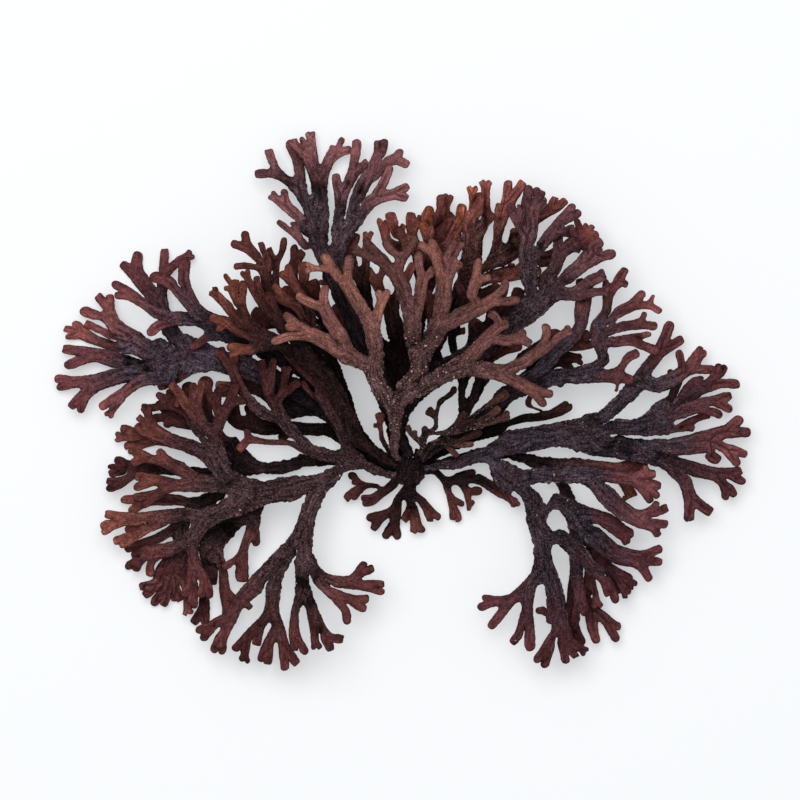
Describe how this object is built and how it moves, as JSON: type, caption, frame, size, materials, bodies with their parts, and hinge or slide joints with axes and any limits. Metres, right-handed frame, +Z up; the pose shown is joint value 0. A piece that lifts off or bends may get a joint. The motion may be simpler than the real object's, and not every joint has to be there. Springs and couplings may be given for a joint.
{
  "type": "irish moss",
  "caption": "Dried irish moss, one bunch as picked: flat, repeatedly forked fronds with lobed tips spread flat round a small holdfast.",
  "frame": {"origin": "middle of the holdfast's flat underside, on the surface that the bunch lies on", "axes": "+Z up from that surface, +X along the bunch's longest side, +Y across it towards the crown frond and the top fan"},
  "size_m": [0.1742, 0.135, 0.0312],
  "materials": {
    "tan": "dried seaweed blade, matt, reddish tan with pale salt grains",
    "red": "dried seaweed blade, matt, reddish brown",
    "maroon": "dried seaweed blade, matt, dark maroon",
    "slate": "dried seaweed blade, matt, purple-black with a greyish bloom",
    "dark": "dried seaweed blade, matt, nearly black",
    "twig": "dried seaweed stem, matt, light reddish brown",
    "root": "dried holdfast, matt, dark brown"
  },
  "bodies": {
    "root": {"frond_crown": "tan", "frond_inner_left": "dark", "frond_inner_right": "dark", "frond_inner_top": "dark", "frond_inner_up": "dark", "frond_left": "maroon", "frond_left_back": "maroon", "frond_left_cluster": "red", "frond_right": "maroon", "frond_right_back": "maroon", "frond_right_middle": "slate", "frond_top": "slate", "frond_top_back": "maroon", "frond_top_left": "red", "frond_upper_left": "slate", "frond_upper_left_mid": "slate", "frond_upper_right": "slate", "frond_upper_right_back": "red", "holdfast": "root", "sprig_low_left": "dark", "sprig_low_middle": "dark", "sprig_low_right": "dark", "twig_left": "twig", "twig_right_lower": "twig", "twig_right_upper": "twig"}
  },
  "joints": []
}
